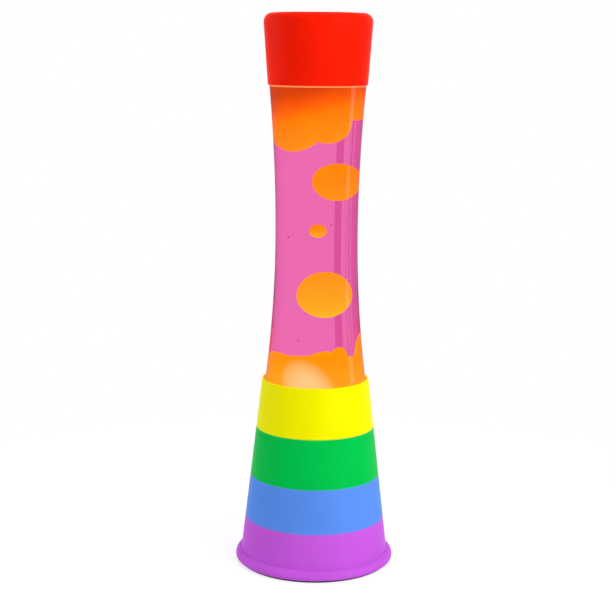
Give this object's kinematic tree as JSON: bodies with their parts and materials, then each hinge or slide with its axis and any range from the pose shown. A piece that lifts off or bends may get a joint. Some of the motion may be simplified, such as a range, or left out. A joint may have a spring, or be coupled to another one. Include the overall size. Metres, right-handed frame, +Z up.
{
  "type": "liquid motion lamp",
  "caption": "Table lamp with a banded cone base, a sealed hourglass bottle of clear liquid and wax blobs heated by a bulb below, and a loose tapered cap.",
  "frame": {"origin": "centre of the foot ring's underside, on the table", "axes": "+Z up along the lamp's axis, +Y to the rear where the cord bushing is, +X to the right seen from the front"},
  "size_m": [0.113, 0.113, 0.3882],
  "materials": {
    "base_paint": "gloss paint in four bands: yellow, green, blue, violet",
    "cap_paint": "gloss red paint",
    "clear_glass": "clear, polished",
    "pink_liquid": "clear pink liquid",
    "orange_wax": "warm translucent wax",
    "black_rubber": "matt",
    "zinc_steel": "zinc plated sheet",
    "crown_steel": "lacquered tinplate",
    "liner_plastic": "soft sealing disc",
    "holder_plastic": "heat resistant moulding",
    "brass_parts": "bright",
    "bulb_glass": "frosted face, silvered flare",
    "bulb_metal": "bright",
    "black_insulator": "glassy black",
    "coil_wire": "bright wire"
  },
  "bodies": {
    "base": {"base_shell": "base_paint", "foot_ring": "black_rubber", "bottom_cover": "zinc_steel", "cover_screws": "zinc_steel", "globe_carrier": "zinc_steel", "lampholder_bracket": "zinc_steel", "bracket_screws": "zinc_steel", "lampholder_body": "holder_plastic", "lampholder_nut": "zinc_steel", "lampholder_screw_shell": "brass_parts", "lampholder_contact": "brass_parts", "cord_bushing": "black_rubber"},
    "bulb_tip": {"bulb_contact": "bulb_metal"},
    "bulb": {"bulb_envelope": "bulb_glass", "bulb_screw_cap": "bulb_metal", "bulb_insulator": "black_insulator", "bulb_stem": "bulb_glass", "bulb_filament": "coil_wire"},
    "globe": {"glass_bottle": "clear_glass", "crown_cap": "crown_steel", "crown_liner": "liner_plastic", "liquid": "pink_liquid", "heat_coil": "coil_wire", "wax_pool": "orange_wax", "wax_top": "orange_wax"},
    "large_blob": {"wax_blob_large": "orange_wax"},
    "upper_blob": {"wax_blob_upper": "orange_wax"},
    "droplet": {"wax_droplet": "orange_wax"},
    "cap": {"cap_shell": "cap_paint"}
  },
  "joints": [
    {"name": "globe_lift", "type": "slide", "parent": "base", "child": "globe", "axis": [0, 0, 1], "range_m": [0, 0.12]},
    {"name": "cap_lift", "type": "slide", "parent": "globe", "child": "cap", "axis": [0, 0, 1], "range_m": [0, 0.075]},
    {"name": "bulb_rise", "type": "slide", "parent": "base", "child": "bulb_tip", "axis": [0, 0, 1], "range_m": [0, 0.01129]},
    {"name": "bulb_turn", "type": "hinge", "parent": "bulb_tip", "child": "bulb", "pos_m": [0, 0, 0.06], "axis": [0, 0, 1], "range_deg": [0, 1440]},
    {"name": "large_blob_float", "type": "slide", "parent": "globe", "child": "large_blob", "axis": [0, 0, 1], "range_m": [-0.014, 0.01], "deforming": ["liquid"]},
    {"name": "upper_blob_float", "type": "slide", "parent": "globe", "child": "upper_blob", "axis": [0, 0, 1], "range_m": [-0.004, 0.006], "deforming": ["liquid"]},
    {"name": "droplet_float", "type": "slide", "parent": "globe", "child": "droplet", "axis": [0, 0, 1], "range_m": [-0.008, 0.008], "deforming": ["liquid"]}
  ],
  "couplings": [
    {"joint": "bulb_rise", "follows": "bulb_turn", "m_per_rad": 0.00044914}
  ]
}
